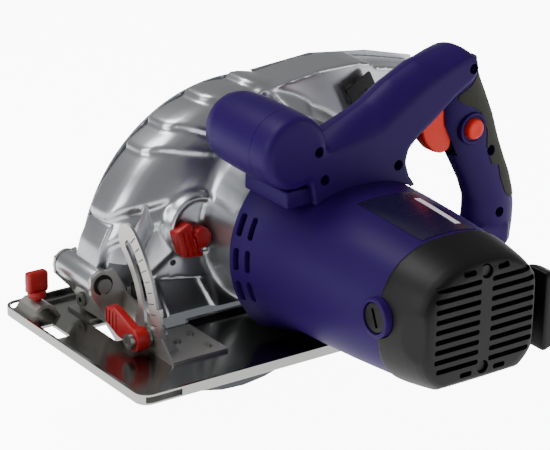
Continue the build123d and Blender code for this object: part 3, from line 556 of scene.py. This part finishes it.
motorShell = {
    "axis": (0.0, 62.0),
    "profile": [(0, 36), (67.5, 36), (69, 36.8), (69.6, 38.4), (67.2, 43), (64.4, 50), (61.6, 58), (59.6, 68),
                (58.2, 82), (57.4, 105), (56.0, 130), (54.4, 150), (53.0, 166), (52.2, 176), (0, 176)],
    "flatness": 0.9,
    "roundY": (42.0, 76.0),
    "ventColumns": [42.0, 50.0],
    "ventAngles": [20, 0, -20],
    "brush": (172.0, 66.0),
}


def squareUp(form):
    # round at the gear case, a rounded square along the barrel
    cx, cz = motorShell["axis"]
    start, end = motorShell["roundY"]
    for vert in form.verts:
        dx, dz = vert.co.x - cx, vert.co.z - cz
        reach = math.hypot(dx, dz)
        if reach < 1:
            continue
        mix = min(1, max(0, (vert.co.y - start) / (end - start)))
        mix = mix * mix * (3 - 2 * mix)
        wide, tall = abs(dx / reach) ** 0.8, abs(dz / reach) ** 0.8
        squareX = math.copysign(reach * wide, dx)
        squareZ = math.copysign(reach * tall, dz) * motorShell["flatness"]
        vert.co.x = cx + dx + (squareX - dx) * mix
        vert.co.z = cz - mix + dz + (squareZ - dz) * mix
    return form


def motorForm(grow=0.0):
    last = len(motorShell["profile"]) - 1
    points = [(r + grow if r else 0, y + (30 if grow and i >= last - 1 else 0))
              for i, (r, y) in enumerate(motorShell["profile"])]
    return squareUp(turned(points, motorShell["axis"], 144))


def makeMotor():
    housing = joined("motor_shell", motorForm())
    y, z = motorShell["brush"]
    for side in (-1, 1):
        boss = rod(12.6, 30, 56.4, (y, z), axis="X", soften=0.9)
        bmesh.ops.scale(boss, vec=(side, 1, 1), verts=boss.verts)
        bmesh.ops.recalc_face_normals(boss, faces=boss.faces)
        carve(housing, boss, mode="UNION")
    bridge = plate([(26, 30), (50, 30), (56, 34), (56, 80), (26, 80)], 106, 117.5, axis="Z", soften=1.5)
    carve(housing, bridge, mode="UNION")
    vents = []
    for column in motorShell["ventColumns"]:
        for angle in motorShell["ventAngles"]:
            for side in (0, 180):
                vent = block((54, column - 1.9, -7.8), (82, column + 1.9, 7.8), 1.8, 4)
                turn = Matrix.Rotation(math.radians(side - angle if side == 0 else side + angle), 3, "Y")
                bmesh.ops.rotate(vent, verts=vent.verts, matrix=turn)
                bmesh.ops.translate(vent, vec=(0, 0, motorShell["axis"][1]), verts=vent.verts)
                vents.append(vent)
    carve(housing, *vents)
    crease = plate([(57.2, 88), (51.2, 176), (62, 176), (62, 88)], 82.5, 83.8, axis="Z")
    carve(housing, block((-90, 0, -60), (90, 230, 8.5)), crease)
    for side in (-1, 1):
        seat = rod(10.2, 50, 70, (y, z), axis="X")
        bmesh.ops.scale(seat, vec=(side, 1, 1), verts=seat.verts)
        bmesh.ops.recalc_face_normals(seat, faces=seat.faces)
        carve(housing, seat)
    place(housing, purpleAbs, "saw_body", ("motor_housing",), "purple_abs", sharp=32)
    discs = []
    for side in (-1, 1):
        disc = rod(9.7, 50.2, 55.6, (y, z), axis="X", soften=0.7)
        bmesh.ops.scale(disc, vec=(side, 1, 1), verts=disc.verts)
        bmesh.ops.recalc_face_normals(disc, faces=disc.faces)
        discs.append(disc)
    caps = joined("brush_cap_pair", *discs)
    slots = []
    for side in (-1, 1):
        near, far = sorted((side * 53.6, side * 62))
        slot = block((near, -1.2, -6.2), (far, 1.2, 6.2))
        bmesh.ops.rotate(slot, verts=slot.verts, matrix=Matrix.Rotation(math.radians(24), 3, "X"))
        bmesh.ops.translate(slot, vec=(0, y, z), verts=slot.verts)
        slots.append(slot)
    carve(caps, *slots)
    place(caps, blackNylon, "saw_body", ("brush_caps",), "black_abs")
    print("motor shell made", len(housing.data.polygons), "faces")


endCap = {
    "profile": [(0, 171.5), (52.9, 171.5), (53.4, 172.4), (52.8, 178), (51.6, 186), (50, 195), (48.4, 202),
                (46.6, 206.6), (44, 209), (40, 210), (0, 210.4)],
    "slotPitch": 6.6, "slotHeight": 3.4, "slotCount": 11,
}


def makeEndCap():
    axis = motorShell["axis"]
    cap = joined("end_cap_shell", squareUp(turned(endCap["profile"], axis, 144)))
    # the end tapers to a squarish face
    sides = [plate([(55, 180), (43.5, 211), (43.5, 230), (90, 230), (90, 180)], 0, 140, axis="Z"),
             plate([(-55, 180), (-90, 180), (-90, 230), (-39, 230), (-39, 211)], 0, 140, axis="Z"),
             plate([(182, 116), (211, 102), (230, 102), (230, 160), (182, 160)], -90, 90, axis="X"),
             plate([(182, 10), (211, 29), (230, 29), (230, -40), (182, -40)], -90, 90, axis="X")]
    carve(cap, *sides)
    fin = plate([(-64, 33), (-64, 80), (-52, 84), (-52, 29)], 187, 207, corner=3, soften=2)
    carve(cap, fin, mode="UNION")
    melt(cap, 1.1, 4)
    slots = []
    for row in range(endCap["slotCount"]):
        height = 65.5 + (row - (endCap["slotCount"] - 1) / 2) * endCap["slotPitch"]
        reach = min(38.5, 41 * (1 - (abs(height - 65.5) / 38) ** 3.2) ** (1 / 3.2))
        outer = row in (0, endCap["slotCount"] - 1)
        for side in (-1, 1):
            near, far = sorted((side * (8.5 if outer else 4.2), side * (reach - 12 if outer else reach)))
            low, high = height - endCap["slotHeight"] / 2, height + endCap["slotHeight"] / 2
            slots.append(block((near, 204.5, low), (far, 216, high), 1.3, 3))
    screws = [rod(4.4, 205, 216, (0, 66 + side * 31.5), sides=40) for side in (-1, 1)]
    y, z = motorShell["brush"]
    seam = plate([(52.4, 168), (51, 186), (42.2, 212), (80, 216), (80, 168)], 82.5, 83.8, axis="Z")
    gap = block((-50.5, 189, 36), (-47.5, 216, 79))
    carve(cap, block((-90, 0, -60), (90, 230, 12)), rod(13.4, 40, 80, (y, z), axis="X"),
          rod(13.4, -80, -40, (y, z), axis="X"), seam, gap, *slots, *screws)
    place(cap, blackNylon, "saw_body", ("end_cap",), "black_abs", sharp=34)
    print("end cap made", len(cap.data.polygons), "faces")


label = {
    # angles round the motor in degrees, lengths along it and how far it stands proud
    "plate": (68, 118, 106, 169, 0.35),
    "bar": (108, 113, 118, 160, 0.5),
    "sunk": 0.8,
}


def labelStrip(name, startAngle, endAngle, low, high, lift):
    # a slice of the motor's own skin, so the foil follows its curve
    wedge = [(0, 62)] + [(120 * math.cos(math.radians(a)), 62 + 120 * math.sin(math.radians(a)))
                         for a in (startAngle, (startAngle + endAngle) / 2, endAngle)]
    piece = joined(name, motorForm(lift))
    carve(piece, plate(wedge, low, high), mode="INTERSECT")
    return carve(piece, motorForm(-label["sunk"]))


def makeLabel():
    foil = labelStrip("blank_label", *label["plate"])
    place(foil, labelFoil, "saw_body", ("rating_plate",), "label_foil")
    bar = labelStrip("label_bar", *label["bar"])
    place(bar, labelWhite, "saw_body", slotName="label_foil")


shoe = {"length": 336.0, "width": 174.0, "rim": 7.5, "sheet": 2.0, "corner": 9.0}


def roundedBox(length, width, low, high, corner):
    halfL, halfW = length / 2, width / 2
    points = [(-halfL, -halfW), (halfL, -halfW), (halfL, halfW), (-halfL, halfW)]
    return plate(points, low, high, axis="Z", corner=corner, cornerSteps=10)


def makeShoe():
    length, width, sheet = shoe["length"], shoe["width"], shoe["sheet"]
    pan = roundedBox(length, width, 0, shoe["rim"], shoe["corner"])
    outerRims = [e for e in pan.edges if abs(e.verts[0].co.z) < 0.01 and abs(e.verts[1].co.z) < 0.01
                 and len(e.link_faces) == 2 and e.calc_face_angle() > 1]
    softenEdges(pan, outerRims, 1.8, 5)
    piece = joined("shoe_pan", pan)
    inside = roundedBox(length - 2 * sheet, width - 2 * sheet, sheet, 20, shoe["corner"] - sheet)
    floorEdges = [e for e in inside.edges if abs(e.verts[0].co.z - sheet) < 0.01
                  and abs(e.verts[1].co.z - sheet) < 0.01
                  and len(e.link_faces) == 2 and e.calc_face_angle() > 1]
    softenEdges(inside, floorEdges, 2.2, 6)
    carve(piece, inside)
    flange = plate([(-3, 0), (0, 0), (0, 5), (-1, 5.2), (-3, 5.2)], -60, 76, axis="X")
    carve(piece, flange, mode="UNION")
    slot = plate([(-106, -62), (117, -62), (117, -3), (-106, -3)], -2, 12, axis="Z", corner=3)
    notch = plate([(112, -33), (130, -33), (130, -3), (112, -3)], -2, 12, axis="Z", corner=1)
    window = plate([(151, -50), (162, -50), (162, -27.5), (151, -27.5)], -2, 12, axis="Z", corner=0.8)
    fences = [block((138, side * 87 - 4, 2), (164, side * 87 + 4, 6.2)) for side in (-1, 1)]
    carve(piece, slot, notch, window, *fences)
    place(piece, shoeSteel, "shoe", ("shoe_plate",), "plated_steel", sharp=30)
    print("shoe made", len(piece.data.polygons), "faces")


quadrant = {"centre": (-55, 12), "face": (120.45, 120.75), "ticks": 10, "firstAngle": 2, "stepAngle": 5,
            "outer": 85.8, "inner": 80.2, "longInner": 79.4, "halfWidth": 0.3}


def makeQuadrantScale():
    # plain tick marks pressed into the outer half of the arc
    ticks = []
    back, front = quadrant["face"]
    half = quadrant["halfWidth"]
    for step in range(quadrant["ticks"]):
        angle = math.radians(quadrant["firstAngle"] + step * quadrant["stepAngle"])
        inner = quadrant["inner"] if step % 3 else quadrant["longInner"]
        tick = block((back, inner, -half), (front, quadrant["outer"], half))
        bmesh.ops.rotate(tick, verts=tick.verts, matrix=Matrix.Rotation(angle, 3, "X"))
        bmesh.ops.translate(tick, vec=(0, *quadrant["centre"]), verts=tick.verts)
        ticks.append(tick)
    place(joined("quadrant_ticks", *ticks), scaleInk, "shoe", slotName="dark_steel")


def makeRedControls():
    # wing of the fence screw: a waisted grip on a round collar
    wing = block((143.2, -73.6, 18), (158.8, -66.4, 33), 2.2, 4)
    dip = rod(2.2, 140, 162, (-73.9, 22.6), axis="X", sides=24)
    screw = joined("fence_wing_screw", wing, rod(6.4, 14.6, 19.5, (151, -70), axis="Z", soften=0.8),
                   rod(3, 7.6, 16, (151, -70), axis="Z", sides=24))
    carve(screw, dip)
    place(screw, redNylon, "guide_knob", ("guide_screw",), "red_plastic")
    # bevel lever: round hub on the bolt and a wing that widens to its end
    hub = rod(8, 123.4, 133, (20, 12), axis="X", soften=1.0)
    wing = plate([(23, 7.6), (26.5, 18), (-4, 27), (-13, 24.5), (-13, 14), (2, 8)], 126, 133, axis="X",
                 corner=2.5, soften=1.4)
    lever = joined("bevel_lever_wing", wing)
    carve(lever, hub, mode="UNION")
    ribs = [plate([(-11.5 + i * 4, 14.5 - i * 1.2), (-10.3 + i * 4, 14.5 - i * 1.2), (-10.3 + i * 4, 24),
                   (-11.5 + i * 4, 24)], 132.5, 134, axis="X") for i in range(4)]
    carve(lever, *ribs)
    carve(lever, rod(3.05, 120, 137, (20, 12), axis="X", sides=32))
    place(lever, redNylon, "bevel_clamp", ("bevel_lever",), "red_plastic")
    # spindle lock: knob with a ribbed wing
    x, z = 71.0, 66.0
    knob = rod(7, -3.3, 9, (x, z), soften=1.0)
    wing = plate([(x - 3, z - 14), (x + 14, z - 12), (x + 20, z + 6), (x + 8, z + 12)], -2, 7, corner=2.5,
                 soften=1.4)
    lock = joined("spindle_lock_wing", wing)
    carve(lock, knob, mode="UNION")
    grips = [plate([(x + 1 + i * 4.2, z - 11), (x + 2.4 + i * 4.2, z - 11), (x + 8.4 + i * 3.4, z + 6),
                    (x + 7 + i * 3.4, z + 6)], 6.2, 9.5) for i in range(3)]
    carve(lock, *grips)
    place(lock, redNylon, "spindle_lock", ("lock_lever",), "red_plastic")


finishes = {
    silverSheet: ["quadrant_plate", "tilt_bracket", "guide_bridge"],
    silverLacquer: ["guard_cover", "bearing_plate"],
    shoeSteel: ["shoe_plate"],
    platedSteel: ["front_pivot_lug", "rear_pivot_lug", "shoe_rivets", "bevel_pins", "hinge_pin", "bumper_post",
                  "bevel_bolt", "bevel_washer", "lever_nut", "depth_bolt", "cover_screws", "trigger_pin"],
    blackenedSteel: ["depth_arc", "e_clips", "outer_flange", "inner_flange", "blade_bolt", "handle_screws",
                     "cap_screws", "housing_screws"],
    burnishedSteel: ["lower_guard"],
    groundSteel: ["spindle", "ball_bearings", "output_gear", "armature_shaft", "drive_pinion", "lock_pin",
                  "guard_spring", "reducer_ring"],
    bladeSteel: ["saw_blade"],
    ironSheets: ["stator", "armature_core"],
    copperWire: ["field_coils", "commutator"],
    drawnBrass: ["brush_holders"],
    graphite: ["carbon_brushes"],
    naturalNylon: ["cooling_fan"],
    blackRubber: ["rubber_bumper"],
    blackNylon: ["brush_caps", "switch_block", "guard_lever"],
    redNylon: ["guide_screw", "bevel_lever", "lock_lever", "depth_lever"],
    orangeAbs: ["trigger", "lock_off_button"],
    labelFoil: ["rating_plate"],
}


def dressNodes():
    for material, names in finishes.items():
        for name in names:
            data = nodes[name].data
            data.materials.clear()
            data.materials.append(material)


placeCamera()
placeLights()
dressNodes()
makeGuard()
makeHandle()
makeTrigger()
makeMotor()
makeEndCap()
makeLabel()
makeShoe()
makeQuadrantScale()
makeRedControls()

floorForm = bmesh.new()
bmesh.ops.create_grid(floorForm, x_segments=2, y_segments=2, size=6000)
bmesh.ops.translate(floorForm, vec=(0, 0, -75.2), verts=floorForm.verts)
floor = joined("studioFloor", floorForm)
floor.data.materials.append(paleFloor)
